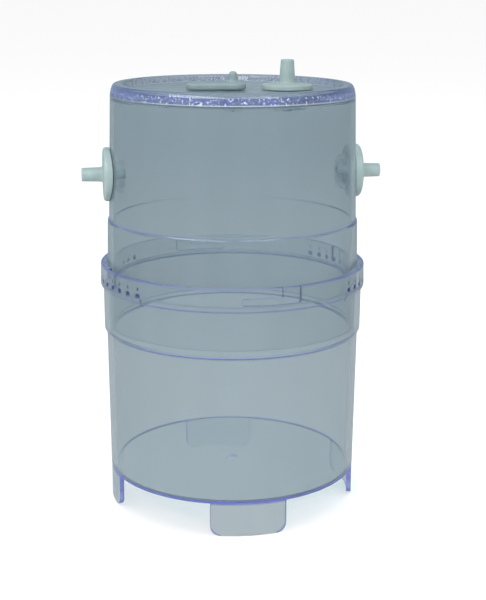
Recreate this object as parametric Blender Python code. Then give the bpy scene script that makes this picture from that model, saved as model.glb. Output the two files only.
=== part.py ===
"""Clear canister filter body: a footed vessel, a bell-shaped casing that twists into it
on four bayonet lugs, three push-on hose nipples and a small vent fitting.

Blender 4.5, metres, +Z up. The origin is on the floor, on the canister's axis.
Sizes below are in millimetres, and MM turns them into metres."""

import bmesh
import bpy
from math import cos, pi, radians, sin, sqrt

MM = 0.001
GAP = 0.3                     # clearance that touching pieces keep
OVERRUN = 1.0                 # how far a cutting tool reaches past the surface it cuts
MERGE_DISTANCE = 0.0005       # points closer than this are one
SHARP_DEG = 30

BODY_SEGMENTS = 72
FITTING_SEGMENTS = 24
BEND_STEP_DEG = 5.0           # one facet of the turned bodies

# Heights above the floor
FOOT_HEIGHT = 14.6
FLOOR_THICKNESS = 1.2
LEDGE_Z = 79.7                # where the casing's seal rests
COLLAR_BOTTOM_Z = 99.9
COLLAR_TOP_Z = 109.7
SOCKET_STEP_Z = 101.5
SKIRT_STEP_Z = 129.3
SHOULDER_Z = 183.4
RIM_Z = 188.2
RECESS_DEPTH = 2.95
PLATE_THICKNESS = 2.75

# Radii of the vessel
BASE_RADIUS = 55.9
LEDGE_OUTER_RADIUS = 56.7
SOCKET_OUTER_RADIUS = 57.8
COLLAR_RADIUS = 59.1
VESSEL_WALL = 2.6
FLOOR_FILLET = 0.5            # where the floor meets the inside of the wall
BASE_ROUNDING = 1.2           # where the underside meets the outside
RIM_EASE = 0.4                # small chamfers on the collar's edges
SOCKET_RADIUS = 55.5
COLLAR_BORE_RADIUS = 56.25
GATE_RADIUS = 2.6
GATE_DEPTH = 0.5

# Radii of the casing
SPIGOT_RADIUS = 55.2
SKIRT_RADIUS = 55.9
SKIRT_TOP_RADIUS = 55.5
WALL_FOOT_RADIUS = 54.9
WALL_TOP_RADIUS = 53.5
RIM_RADIUS = 52.7
RECESS_RADIUS = 47.2
CASING_WALL = 1.9
CASING_BORE_RADIUS = 53.4
CEILING_ROUNDING = 1.8        # where the inner wall meets the top plate
BODY_SEAL_HEIGHT = 2.2

# Feet: four tabs that carry the vessel's wall down to the floor
FOOT_ARC_DEG = 34.6
FOOT_CORNER = 4.5
FOOT_WALL = 2.1
FOOT_ROOT = 3.0               # how far a foot runs up into the wall

# Bayonet: lugs on the casing's skirt, L-shaped channels inside the collar
LUG_WIDTH = 7.0
LUG_HEIGHT = 2.4
LUG_RADIUS = 57.3
LUG_CORNER = 0.6
CHANNEL_BOTTOM_Z = 102.3
CHANNEL_HEIGHT = 3.0
CHANNEL_RADIUS = 57.6
CHANNEL_START_DEG = -4.0
CHANNEL_CORNER = 1.2
ENTRY_DEG = 17.7
ENTRY_WIDTH = 8.4
QUARTERS_DEG = (-90, 0, 90, 180)

# Finger grips: upright flutes in the collar, on the left and on the right
FLUTE_COUNT = 14
FLUTE_PITCH_DEG = 6.15
FLUTE_WIDTH = 2.6
FLUTE_HEIGHT = 6.4
FLUTE_BOTTOM_Z = 101.4
FLUTE_DEPTH = 0.45

# Hose nipples
NIPPLE_Z = 149.1
TOP_NIPPLE_X = 24.0
FLANGE_ROUNDING = 1.5
SADDLE_REACH = -2.0           # how far a side flange's uncut underside reaches round the wall
SIDE_NIPPLE = {"flange_radius": 11.8, "crown": 3.2, "root_radius": 3.15, "tip_radius": 2.95,
               "tip_height": 12.1, "underside": SADDLE_REACH}
TOP_NIPPLE = {"flange_radius": 11.2, "crown": 2.6, "root_radius": 3.5, "tip_radius": 2.85,
              "tip_height": 13.0, "underside": GAP}
NIPPLE_BORE = 1.9
SHANK_RADIUS = 5.7
HOLE_RADIUS = 6.0
SEAL_POCKET_RADIUS = 8.7
SEAL_RADIUS = 8.4
SEAL_TOP = 0.9
POCKET_TOP = 1.2
NUT_FLATS = 15.0
NUT_THICKNESS = 3.0
NUT_STANDOFF = 1.25           # room for the curved wall behind a flat nut
NUT_CHAMFER = 0.35
THREAD_END = 1.0              # how far a shank shows past its nut

# Vent fitting in the middle of the recessed top
VENT_PLATE_LENGTH = 26.4
VENT_PLATE_WIDTH = 11.0
VENT_PLATE_OFFSET = -7.4
VENT_PLATE_HEIGHT = 3.0
VENT_TIP_HEIGHT = 8.1
VENT_STUB_RADIUS = 1.95
VENT_BORE = 0.8
VENT_SHANK_RADIUS = 3.3
VENT_SEAL_RADIUS = 4.9
VENT_NUT_FLATS = 9.6
VENT_EDGE = 0.7               # rounding of the base plate's upper edge
VENT_BORE_LENGTH = 30.0

RECESS_Z = RIM_Z - RECESS_DEPTH
PLATE_BOTTOM_Z = RECESS_Z - PLATE_THICKNESS


# ---------------------------------------------------------------- materials
def plastic(name, colour, roughness, alpha=1.0):
    """A Principled material in one plain colour."""
    material = bpy.data.materials.new(name)
    material.use_nodes = True
    shader = material.node_tree.nodes["Principled BSDF"]
    shader.inputs["Base Color"].default_value = (*colour, 1.0)
    shader.inputs["Roughness"].default_value = roughness
    shader.inputs["Metallic"].default_value = 0.0
    shader.inputs["Alpha"].default_value = alpha
    return material


# ---------------------------------------------------------------- shape tools
def finish_object(name, bm, material=None):
    """Put a bmesh drawn in millimetres into the scene as a smooth-shaded object."""
    bmesh.ops.recalc_face_normals(bm, faces=bm.faces)
    for vert in bm.verts:
        vert.co *= MM
    mesh = bpy.data.meshes.new(name)
    bm.to_mesh(mesh)
    bm.free()
    mesh.shade_smooth()
    mesh.set_sharp_from_angle(angle=radians(SHARP_DEG))
    obj = bpy.data.objects.new(name, mesh)
    bpy.context.scene.collection.objects.link(obj)
    if material:
        mesh.materials.append(material)
    return obj


def arc(centre_r, centre_z, radius, start_deg, end_deg, steps=3):
    """Points on a circle in the (radius, height) plane."""
    turn = (end_deg - start_deg) / steps
    angles = [radians(start_deg + turn * i) for i in range(steps + 1)]
    return [(centre_r + radius * cos(a), centre_z + radius * sin(a)) for a in angles]


def spin_profile(profile, segments):
    """Turn an outline of (radius, height) points round the axis into a closed solid."""
    bm = bmesh.new()
    verts = [bm.verts.new((r, 0.0, z)) for r, z in profile]
    edges = [bm.edges.new(pair) for pair in zip(verts, verts[1:])]
    on_axis = profile[0][0] == 0.0 and profile[-1][0] == 0.0
    if not on_axis:
        edges.append(bm.edges.new((verts[-1], verts[0])))
    bmesh.ops.spin(bm, geom=verts + edges, cent=(0, 0, 0), axis=(0, 0, 1), dvec=(0, 0, 0),
                   angle=2 * pi, steps=segments, use_merge=True, use_duplicate=False)
    bmesh.ops.remove_doubles(bm, verts=bm.verts, dist=MERGE_DISTANCE)
    return bm


def rounded_outline(low_x, high_x, low_z, high_z, corner, rounded=(1, 1, 1, 1), steps=4):
    """A rectangle whose corners, from lower right anticlockwise, may be round."""
    corners = [(high_x, low_z, -90), (high_x, high_z, 0), (low_x, high_z, 90), (low_x, low_z, 180)]
    points = []
    for (x, z, start), is_round in zip(corners, rounded):
        if not is_round:
            points.append((x, z))
            continue
        centre_x = x - corner if x == high_x else x + corner
        centre_z = z - corner if z == high_z else z + corner
        points += arc(centre_x, centre_z, corner, start, start + 90, steps)
    return points


def wrapped_slab(outline, inner_radius, outer_radius, facing_deg):
    """A slab with an outline of (arc length, height) points, bent round the axis."""
    bm = bmesh.new()
    bm.faces.new([bm.verts.new((s, 0.0, z)) for s, z in outline])
    step = radians(BEND_STEP_DEG) * outer_radius
    reach = int(max(abs(s) for s, z in outline) / step) + 1
    for line in range(-reach, reach + 1):
        everything = bm.verts[:] + bm.edges[:] + bm.faces[:]
        bmesh.ops.bisect_plane(bm, geom=everything, dist=1e-4,
                               plane_co=(line * step, 0, 0), plane_no=(1, 0, 0))
    lifted = bmesh.ops.extrude_face_region(bm, geom=bm.faces[:])["geom"]
    outside = {v for v in lifted if isinstance(v, bmesh.types.BMVert)}
    for vert in bm.verts:
        radius = outer_radius if vert in outside else inner_radius
        angle = radians(facing_deg) + vert.co.x / outer_radius
        vert.co = (radius * cos(angle), radius * sin(angle), vert.co.z)
    bmesh.ops.triangulate(bm, faces=bm.faces[:])
    bmesh.ops.recalc_face_normals(bm, faces=bm.faces)
    return bm


def gather(pieces):
    """Collect several bmeshes in one, as separate solids."""
    together = bmesh.new()
    for piece in pieces:
        mesh = bpy.data.meshes.new("piece")
        piece.to_mesh(mesh)
        piece.free()
        together.from_mesh(mesh)
        bpy.data.meshes.remove(mesh)
    return together


def combine(target, tool, operation, note, solver="EXACT"):
    """Join or cut an object with a tool, which stays in the file as a wire guide."""
    tool.hide_render = True
    tool.display_type = "WIRE"
    modifier = target.modifiers.new(note, "BOOLEAN")
    modifier.operation = operation
    modifier.object = tool
    modifier.solver = solver


def place(obj, x, z, axis):
    """Stand a fitting, drawn along +Z, at x and z on the given row axis."""
    obj.location = (x * MM, 0.0, z * MM)
    obj.rotation_euler = (0.0, {"+Z": 0.0, "+X": pi / 2, "-X": -pi / 2}[axis], 0.0)
    return obj


# ---------------------------------------------------------------- vessel
def vessel_profile():
    """The vessel's section: out along its underside, up the outside, down the inside."""
    base = FOOT_HEIGHT
    floor = base + FLOOR_THICKNESS
    wall_inside = LEDGE_OUTER_RADIUS - VESSEL_WALL
    outside = [(0.0, base + GATE_DEPTH), (GATE_RADIUS - 0.8, base + GATE_DEPTH), (GATE_RADIUS, base)]
    outside += arc(BASE_RADIUS - BASE_ROUNDING, base + BASE_ROUNDING, BASE_ROUNDING, -90, 0)
    outside += [(LEDGE_OUTER_RADIUS, LEDGE_Z - 0.8), (SOCKET_OUTER_RADIUS, LEDGE_Z + 0.6)]
    outside += [(SOCKET_OUTER_RADIUS + 0.1, COLLAR_BOTTOM_Z - 0.3)]
    outside += [(COLLAR_RADIUS - RIM_EASE, COLLAR_BOTTOM_Z), (COLLAR_RADIUS, COLLAR_BOTTOM_Z + 0.5)]
    outside += [(COLLAR_RADIUS - 0.2, COLLAR_TOP_Z - 0.5), (COLLAR_RADIUS - 0.6, COLLAR_TOP_Z)]
    inside = [(COLLAR_BORE_RADIUS + 0.3, COLLAR_TOP_Z), (COLLAR_BORE_RADIUS, COLLAR_TOP_Z - RIM_EASE)]
    inside += [(COLLAR_BORE_RADIUS, SOCKET_STEP_Z), (SOCKET_RADIUS, SOCKET_STEP_Z)]
    inside += [(SOCKET_RADIUS, LEDGE_Z), (wall_inside, LEDGE_Z)]
    inside += arc(BASE_RADIUS - VESSEL_WALL - FLOOR_FILLET, floor + FLOOR_FILLET, FLOOR_FILLET, 0, -90)
    inside += [(0.0, floor)]
    return outside + inside


def feet_solid():
    """Four wall tabs with rounded lower corners."""
    half = radians(FOOT_ARC_DEG / 2) * BASE_RADIUS
    outline = rounded_outline(-half, half, 0.0, FOOT_HEIGHT + FOOT_ROOT, FOOT_CORNER, (1, 0, 0, 1))
    outer = BASE_RADIUS - 0.1
    return gather([wrapped_slab(outline, outer - FOOT_WALL, outer, q) for q in QUARTERS_DEG])


def channel_solid():
    """Four L-shaped channels: a slot down from the collar's top, then a run along it."""
    per_degree = radians(1) * CHANNEL_RADIUS
    start = CHANNEL_START_DEG * per_degree
    entry = ENTRY_DEG * per_degree
    low = CHANNEL_BOTTOM_Z
    high = low + CHANNEL_HEIGHT
    above = COLLAR_TOP_Z + OVERRUN
    right = entry + ENTRY_WIDTH / 2
    left = entry - ENTRY_WIDTH / 2
    c = CHANNEL_CORNER
    outline = arc(right - c, low + c, c, -90, 0) + [(right, above), (left, above), (left, high)]
    outline += arc(start + c, high - c, c, 90, 180) + arc(start + c, low + c, c, 180, 270)
    inner = COLLAR_BORE_RADIUS - OVERRUN
    return gather([wrapped_slab(outline, inner, CHANNEL_RADIUS, q) for q in QUARTERS_DEG])


def flute_solid():
    """Upright flutes cut into the collar's two grip zones."""
    outline = rounded_outline(-FLUTE_WIDTH / 2, FLUTE_WIDTH / 2, FLUTE_BOTTOM_Z,
                              FLUTE_BOTTOM_Z + FLUTE_HEIGHT, FLUTE_WIDTH / 2 - 0.4, steps=1)
    middle = (FLUTE_COUNT - 1) / 2
    outer = COLLAR_RADIUS + OVERRUN
    flutes = []
    for side_deg in (0, 180):
        for i in range(FLUTE_COUNT):
            facing = side_deg + (i - middle) * FLUTE_PITCH_DEG
            flutes.append(wrapped_slab(outline, COLLAR_RADIUS - FLUTE_DEPTH, outer, facing))
    return gather(flutes)


def build_vessel(clear):
    vessel = finish_object("lower_vessel", spin_profile(vessel_profile(), BODY_SEGMENTS), clear)
    channels = finish_object("channel_cutter", channel_solid())
    flutes = finish_object("flute_cutter", flute_solid())
    feet = finish_object("feet_guide", feet_solid())
    combine(vessel, channels, "DIFFERENCE", "bayonet channels", "MANIFOLD")
    combine(vessel, flutes, "DIFFERENCE", "grip flutes")
    combine(vessel, feet, "UNION", "feet")


def build_body_seal(silicone):
    """Flat ring squeezed between the vessel's ledge and the casing's spigot."""
    low = LEDGE_Z + GAP
    high = low + BODY_SEAL_HEIGHT
    inner = LEDGE_OUTER_RADIUS - VESSEL_WALL - 0.4
    outer = SOCKET_RADIUS - GAP
    profile = [(inner, low), (outer - 0.3, low), (outer, low + 0.3), (outer, high - 0.3)]
    profile += [(outer - 0.3, high), (inner, high)]
    finish_object("body_seal", spin_profile(profile, BODY_SEGMENTS), silicone)


# ---------------------------------------------------------------- casing
def casing_wall_radius(z):
    """Outer radius of the casing's drafted wall at a height."""
    share = (z - SKIRT_STEP_Z) / (SHOULDER_Z - SKIRT_STEP_Z)
    return WALL_FOOT_RADIUS + (WALL_TOP_RADIUS - WALL_FOOT_RADIUS) * share


def casing_profile():
    """The casing's section: from the recess out over the rim, down outside, up inside."""
    spigot_end = LEDGE_Z + GAP + BODY_SEAL_HEIGHT + GAP
    skirt_start = SOCKET_STEP_Z + GAP
    outside = [(0.0, RECESS_Z), (RECESS_RADIUS - 0.6, RECESS_Z), (RECESS_RADIUS, RECESS_Z + 0.5)]
    outside += [(RECESS_RADIUS + 0.6, RIM_Z - 0.5), (RECESS_RADIUS + 1.2, RIM_Z)]
    outside += [(RIM_RADIUS - 0.8, RIM_Z), (RIM_RADIUS, RIM_Z - 0.6)]
    outside += [(RIM_RADIUS + 0.6, RIM_Z - 2.4), (WALL_TOP_RADIUS, SHOULDER_Z)]
    outside += [(WALL_FOOT_RADIUS, SKIRT_STEP_Z + 0.4), (SKIRT_TOP_RADIUS, SKIRT_STEP_Z - 0.6)]
    outside += [(SKIRT_RADIUS, COLLAR_TOP_Z + 1.0), (SKIRT_RADIUS, skirt_start)]
    outside += [(SPIGOT_RADIUS, skirt_start), (SPIGOT_RADIUS, spigot_end + 0.8)]
    outside += [(SPIGOT_RADIUS - 0.6, spigot_end)]
    inside = [(CASING_BORE_RADIUS, spigot_end), (CASING_BORE_RADIUS - 0.1, SKIRT_STEP_Z - 0.6)]
    inside += [(WALL_FOOT_RADIUS - CASING_WALL, SKIRT_STEP_Z + 0.4)]
    bend = CEILING_ROUNDING
    inside += arc(WALL_TOP_RADIUS - CASING_WALL - bend, PLATE_BOTTOM_Z - bend, bend, 0, 90)
    inside += [(0.0, PLATE_BOTTOM_Z)]
    return outside + inside


def lug_solid():
    """Four lugs rooted in the casing's skirt."""
    low = CHANNEL_BOTTOM_Z + GAP
    half = LUG_WIDTH / 2
    outline = rounded_outline(-half, half, low, low + LUG_HEIGHT, LUG_CORNER, steps=2)
    return gather([wrapped_slab(outline, SKIRT_RADIUS - OVERRUN, LUG_RADIUS, q) for q in QUARTERS_DEG])


def hole_cutter(name, radius, x, z, axis, length=12.0):
    profile = [(0.0, length / 2), (radius, length / 2), (radius, -length / 2), (0.0, -length / 2)]
    return place(finish_object(name, spin_profile(profile, FITTING_SEGMENTS)), x, z, axis)


def build_casing(clear):
    casing = finish_object("upper_casing", spin_profile(casing_profile(), BODY_SEGMENTS), clear)
    combine(casing, finish_object("lug_guide", lug_solid()), "UNION", "bayonet lugs")
    wall_x = casing_wall_radius(NIPPLE_Z)
    holes = [
        hole_cutter("hole_right", HOLE_RADIUS, wall_x, NIPPLE_Z, "+X"),
        hole_cutter("hole_left", HOLE_RADIUS, -wall_x, NIPPLE_Z, "-X"),
        hole_cutter("hole_top", HOLE_RADIUS, TOP_NIPPLE_X, RECESS_Z, "+Z"),
        hole_cutter("hole_vent", VENT_SHANK_RADIUS + GAP, 0.0, RECESS_Z, "+Z"),
    ]
    for hole in holes:
        combine(casing, hole, "DIFFERENCE", hole.name)


# ---------------------------------------------------------------- hose nipples
def nipple_profile(shank_end, flange_radius, crown, root_radius, tip_radius, tip_height, underside):
    """Section of a nipple: bore, shank, seal pocket, round-edged flange and tapered tube."""
    profile = [(NIPPLE_BORE, shank_end), (SHANK_RADIUS - 0.4, shank_end)]
    profile += [(SHANK_RADIUS, shank_end + 0.4), (SHANK_RADIUS, POCKET_TOP)]
    profile += [(SEAL_POCKET_RADIUS, POCKET_TOP), (SEAL_POCKET_RADIUS, underside)]
    edge = FLANGE_ROUNDING
    profile += [(flange_radius, underside)]
    profile += arc(flange_radius - edge, crown - 0.1 - edge, edge, 0, 90)
    profile += [(root_radius + 0.5, crown)]
    profile += [(root_radius, crown + 0.6), (tip_radius, tip_height - 0.6)]
    profile += [(tip_radius - 0.3, tip_height), (NIPPLE_BORE, tip_height)]
    return profile


def wall_trimmer(name):
    """The casing's outer wall grown by the clearance, which shapes saddle undersides."""
    low = SKIRT_STEP_Z + OVERRUN
    high = SHOULDER_Z - OVERRUN
    profile = [(0.0, high), (casing_wall_radius(high) + GAP, high)]
    profile += [(casing_wall_radius(low) + GAP, low), (0.0, low)]
    return finish_object(name, spin_profile(profile, BODY_SEGMENTS * 2))


def hex_nut(name, flats, bore, thickness, material):
    """Hexagonal lock nut standing on its lower face, with broken edges."""
    bm = bmesh.new()
    corner = flats / sqrt(3)
    bmesh.ops.create_cone(bm, cap_ends=True, segments=6, radius1=corner, radius2=corner, depth=thickness)
    bmesh.ops.bevel(bm, geom=bm.edges[:], offset=NUT_CHAMFER, segments=1, profile=0.5, affect="EDGES")
    nut = finish_object(name, bm, material)
    cutter = hole_cutter(name + "_bore", bore, 0.0, 0.0, "+Z")
    cutter.parent = nut
    combine(nut, cutter, "DIFFERENCE", "bore")
    return nut


def build_side_nipple(side, sign, milky, silicone, trimmer):
    """Nipple, seal and nut through the casing's side wall."""
    wall_x = casing_wall_radius(NIPPLE_Z)
    axis = "+X" if sign > 0 else "-X"
    nut_face = -(CASING_WALL + NUT_STANDOFF)
    nut_low = nut_face - NUT_THICKNESS
    section = nipple_profile(nut_low - THREAD_END, **SIDE_NIPPLE)
    nipple = finish_object("hose_nipple_" + side, spin_profile(section, FITTING_SEGMENTS), milky)
    place(nipple, sign * wall_x, NIPPLE_Z, axis)
    combine(nipple, flange_trim_tool(side, sign, trimmer), "DIFFERENCE", "saddle")
    ring = [(HOLE_RADIUS, SEAL_TOP), (SEAL_RADIUS, SEAL_TOP)]
    ring += [(SEAL_RADIUS, SADDLE_REACH), (HOLE_RADIUS, SADDLE_REACH)]
    seal = finish_object("nipple_seal_" + side, spin_profile(ring, FITTING_SEGMENTS), silicone)
    combine(place(seal, sign * wall_x, NIPPLE_Z, axis), trimmer, "DIFFERENCE", "saddle")
    nut = hex_nut("nipple_nut_" + side, NUT_FLATS, HOLE_RADIUS, NUT_THICKNESS, milky)
    place(nut, sign * (wall_x + nut_face - NUT_THICKNESS / 2), NIPPLE_Z, axis)


def flange_trim_tool(side, sign, trimmer):
    """The grown wall with a core left out, so that it trims a flange and not its shank."""
    wall_x = casing_wall_radius(NIPPLE_Z)
    inner = SHANK_RADIUS + 0.1
    outer = SIDE_NIPPLE["flange_radius"] + OVERRUN
    high = POCKET_TOP - 0.1
    low = 2 * SADDLE_REACH
    ring = [(inner, high), (outer, high), (outer, low), (inner, low)]
    tool = finish_object("saddle_tool_" + side, spin_profile(ring, FITTING_SEGMENTS))
    place(tool, sign * wall_x, NIPPLE_Z, "+X" if sign > 0 else "-X")
    combine(tool, trimmer, "INTERSECT", "wall")
    return tool


def build_top_nipple(milky, silicone):
    """Nipple, seal and nut through the recessed top plate."""
    nut_face = -(PLATE_THICKNESS + GAP)
    section = nipple_profile(nut_face - NUT_THICKNESS - THREAD_END, **TOP_NIPPLE)
    nipple = finish_object("hose_nipple_top", spin_profile(section, FITTING_SEGMENTS), milky)
    place(nipple, TOP_NIPPLE_X, RECESS_Z, "+Z")
    ring = [(HOLE_RADIUS, SEAL_TOP), (SEAL_RADIUS, SEAL_TOP), (SEAL_RADIUS, GAP), (HOLE_RADIUS, GAP)]
    seal = finish_object("nipple_seal_top", spin_profile(ring, FITTING_SEGMENTS), silicone)
    place(seal, TOP_NIPPLE_X, RECESS_Z, "+Z")
    nut = hex_nut("nipple_nut_top", NUT_FLATS, HOLE_RADIUS, NUT_THICKNESS, milky)
    place(nut, TOP_NIPPLE_X, RECESS_Z + nut_face - NUT_THICKNESS / 2, "+Z")


# ---------------------------------------------------------------- vent fitting
def vent_core_profile(shank_end):
    """Section of the vent's stub and threaded shank, bored through."""
    profile = [(VENT_BORE, shank_end), (VENT_SHANK_RADIUS, shank_end)]
    profile += [(VENT_SHANK_RADIUS, POCKET_TOP + 0.5), (VENT_STUB_RADIUS + 1.2, VENT_PLATE_HEIGHT)]
    profile += [(VENT_STUB_RADIUS, VENT_PLATE_HEIGHT + 0.8)]
    profile += [(VENT_STUB_RADIUS - 0.2, VENT_TIP_HEIGHT - 1.4)]
    profile += [(VENT_BORE + 0.3, VENT_TIP_HEIGHT), (VENT_BORE, VENT_TIP_HEIGHT)]
    return profile


def vent_plate():
    """Oblong base plate with round ends and an eased upper edge."""
    bm = bmesh.new()
    half_width = VENT_PLATE_WIDTH / 2
    reach = VENT_PLATE_LENGTH / 2
    outline = rounded_outline(-reach, reach, -half_width, half_width, half_width - 0.1, steps=6)
    bm.faces.new([bm.verts.new((x + VENT_PLATE_OFFSET, y, GAP)) for x, y in outline])
    lifted = bmesh.ops.extrude_face_region(bm, geom=bm.faces[:])["geom"]
    top = [v for v in lifted if isinstance(v, bmesh.types.BMVert)]
    bmesh.ops.translate(bm, verts=top, vec=(0, 0, VENT_PLATE_HEIGHT - GAP))
    upper = [e for e in bm.edges if all(v in top for v in e.verts)]
    bmesh.ops.bevel(bm, geom=upper, offset=VENT_EDGE, segments=2, profile=0.6, affect="EDGES")
    return bm


def build_vent(milky, silicone):
    """Vent fitting, its seal and its nut, on the canister's axis."""
    nut_face = -(PLATE_THICKNESS + GAP)
    shank_end = nut_face - NUT_THICKNESS - THREAD_END
    vent = finish_object("vent_fitting", vent_plate(), milky)
    vent.location = (0.0, 0.0, RECESS_Z * MM)
    core = finish_object("vent_core", spin_profile(vent_core_profile(shank_end), FITTING_SEGMENTS))
    pocket = [(0.0, POCKET_TOP), (VENT_SEAL_RADIUS + GAP, POCKET_TOP)]
    pocket += [(VENT_SEAL_RADIUS + GAP, -OVERRUN), (0.0, -OVERRUN)]
    pocket_tool = finish_object("vent_pocket", spin_profile(pocket, FITTING_SEGMENTS))
    bore = hole_cutter("vent_bore", VENT_BORE, 0.0, 0.0, "+Z", VENT_BORE_LENGTH)
    for tool, operation in ((pocket_tool, "DIFFERENCE"), (core, "UNION"), (bore, "DIFFERENCE")):
        tool.location = (0.0, 0.0, RECESS_Z * MM)
        combine(vent, tool, operation, tool.name)
    inner = VENT_SHANK_RADIUS + GAP
    ring = [(inner, SEAL_TOP), (VENT_SEAL_RADIUS, SEAL_TOP), (VENT_SEAL_RADIUS, GAP), (inner, GAP)]
    seal = finish_object("vent_seal", spin_profile(ring, FITTING_SEGMENTS), silicone)
    seal.location = (0.0, 0.0, RECESS_Z * MM)
    nut = hex_nut("vent_nut", VENT_NUT_FLATS, inner, NUT_THICKNESS, milky)
    place(nut, 0.0, RECESS_Z + nut_face - NUT_THICKNESS / 2, "+Z")


# ---------------------------------------------------------------- assembly
for old in list(bpy.data.objects):
    bpy.data.objects.remove(old)

clear_plastic = plastic("clear_plastic", (0.30, 0.38, 0.41), 0.08, 0.45)
milky_plastic = plastic("milky_plastic", (0.42, 0.50, 0.48), 0.35)
clear_silicone = plastic("clear_silicone", (0.55, 0.60, 0.62), 0.4)

build_vessel(clear_plastic)
build_body_seal(clear_silicone)
build_casing(clear_plastic)
wall_tool = wall_trimmer("wall_trimmer")
build_side_nipple("right", 1, milky_plastic, clear_silicone, wall_tool)
build_side_nipple("left", -1, milky_plastic, clear_silicone, wall_tool)
build_top_nipple(milky_plastic, clear_silicone)
build_vent(milky_plastic, clear_silicone)
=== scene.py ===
"""Clear canister filter body: a footed vessel and a bell casing in tinted clear plastic,
joined by a bayonet collar, with milky hose nipples, a vent fitting, seals and lock nuts."""

from math import atan2, cos, hypot, pi, radians, sin, sqrt

import bmesh
import bpy
from mathutils import Euler, Matrix, Vector


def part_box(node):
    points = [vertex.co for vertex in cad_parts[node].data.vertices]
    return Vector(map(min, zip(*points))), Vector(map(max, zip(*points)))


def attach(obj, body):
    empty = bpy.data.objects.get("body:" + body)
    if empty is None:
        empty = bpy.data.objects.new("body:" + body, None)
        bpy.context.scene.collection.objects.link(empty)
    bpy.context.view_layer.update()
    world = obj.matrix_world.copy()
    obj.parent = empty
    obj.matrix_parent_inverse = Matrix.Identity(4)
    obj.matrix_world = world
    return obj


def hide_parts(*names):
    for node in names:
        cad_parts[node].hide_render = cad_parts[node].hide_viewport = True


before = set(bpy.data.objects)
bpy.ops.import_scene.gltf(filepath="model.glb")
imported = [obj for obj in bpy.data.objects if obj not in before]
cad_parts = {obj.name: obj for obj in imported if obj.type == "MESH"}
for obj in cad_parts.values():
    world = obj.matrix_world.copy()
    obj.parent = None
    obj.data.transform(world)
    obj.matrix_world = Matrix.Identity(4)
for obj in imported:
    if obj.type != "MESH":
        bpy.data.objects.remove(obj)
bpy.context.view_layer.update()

# ---------------------------------------------------------------------------
# Stage: a pale sweep of floor, soft light from a bright room and two softboxes,
# and the camera a little above the rim, turned slightly to the left of the front foot.
# ---------------------------------------------------------------------------
MM = 0.001
CAMERA_TURN = radians(-8.2)
CAMERA_DISTANCE = 572.4 * MM
CAMERA_HEIGHT = 235.4 * MM
CAMERA_SIDESTEP = 4.85 * MM
CAMERA_DIP = radians(14.19)
CAMERA_ROLL = radians(0.27)
LENS = 78.0
NEAREST_SEEN = 10 * MM

ahead = Vector((-sin(CAMERA_TURN), cos(CAMERA_TURN), 0))
rightwards = Vector((cos(CAMERA_TURN), sin(CAMERA_TURN), 0))
aim = Euler((pi / 2 - CAMERA_DIP, 0, CAMERA_TURN)).to_matrix() @ Matrix.Rotation(CAMERA_ROLL, 3, "Z")
bpy.ops.object.camera_add(
    location=rightwards * CAMERA_SIDESTEP - ahead * CAMERA_DISTANCE + Vector((0, 0, CAMERA_HEIGHT)),
    rotation=aim.to_euler())
camera = bpy.context.object
camera.data.lens = LENS
camera.data.clip_start = NEAREST_SEEN
bpy.context.scene.camera = camera


class Number:
    """A number socket that ordinary arithmetic works on."""

    def __init__(self, tree, socket):
        self.tree = tree
        self.socket = socket

    def math(self, operation, first, second=0.0):
        node = self.tree.nodes.new("ShaderNodeMath")
        node.operation = operation
        for slot, term in zip(node.inputs, (first, second)):
            if isinstance(term, Number):
                self.tree.links.new(term.socket, slot)
            else:
                slot.default_value = term
        return Number(self.tree, node.outputs[0])

    def __add__(self, other):
        return self.math("ADD", self, other)

    def __radd__(self, other):
        return self.math("ADD", other, self)

    def __sub__(self, other):
        return self.math("SUBTRACT", self, other)

    def __rsub__(self, other):
        return self.math("SUBTRACT", other, self)

    def __mul__(self, other):
        return self.math("MULTIPLY", self, other)

    def __rmul__(self, other):
        return self.math("MULTIPLY", other, self)

    def __truediv__(self, other):
        return self.math("DIVIDE", self, other)

    def __pow__(self, other):
        return self.math("POWER", self, other)

    def __abs__(self):
        return self.math("ABSOLUTE", self)

    def at_least(self, low):
        return self.math("MAXIMUM", self, low)

    def at_most(self, high):
        return self.math("MINIMUM", self, high)

    def clamped(self):
        """Held between 0 and 1."""
        return self.at_least(0.0).at_most(1.0)


class Finish:
    """A material, or another block with a node tree, under construction."""

    def __init__(self, name, blocks=None):
        self.block = (bpy.data.materials if blocks is None else blocks).new(name)
        self.block.use_nodes = True
        self.tree = self.block.node_tree
        self.tree.nodes.clear()

    def add(self, kind, settings=None, inputs=None):
        """One node: its settings first, then the values or links of its sockets."""
        node = self.tree.nodes.new("ShaderNode" + kind)
        for key, value in (settings or {}).items():
            setattr(node, key, value)
        for key, value in (inputs or {}).items():
            if isinstance(value, Number):
                value = value.socket
            if isinstance(value, bpy.types.NodeSocket):
                self.tree.links.new(value, node.inputs[key])
            else:
                node.inputs[key].default_value = value
        return node

    def number(self, socket):
        return Number(self.tree, socket)

    def place(self):
        """The point's x, y and z on the object, in millimetres, and its distance from the axis."""
        spot = self.add("TexCoord").outputs["Object"]
        split = self.add("SeparateXYZ", None, {0: spot})
        x, y, z = (self.number(socket) / MM for socket in split.outputs)
        return spot, x, y, z, (x * x + y * y) ** 0.5

    def show(self, shader, output="OutputMaterial"):
        self.add(output, None, {"Surface": shader})
        return self.block


def backdrop(f, seen, refracted):
    """What the room shows: one look when seen directly, another in or through the plastic."""
    rays = f.add("LightPath")
    either = f.number(rays.outputs["Is Transmission Ray"]).at_least(
        f.number(rays.outputs["Is Glossy Ray"]))
    mix = f.add("MixShader", None, {"Fac": either, 1: seen.outputs[0], 2: refracted.outputs[0]})
    return mix.outputs[0]


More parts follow.
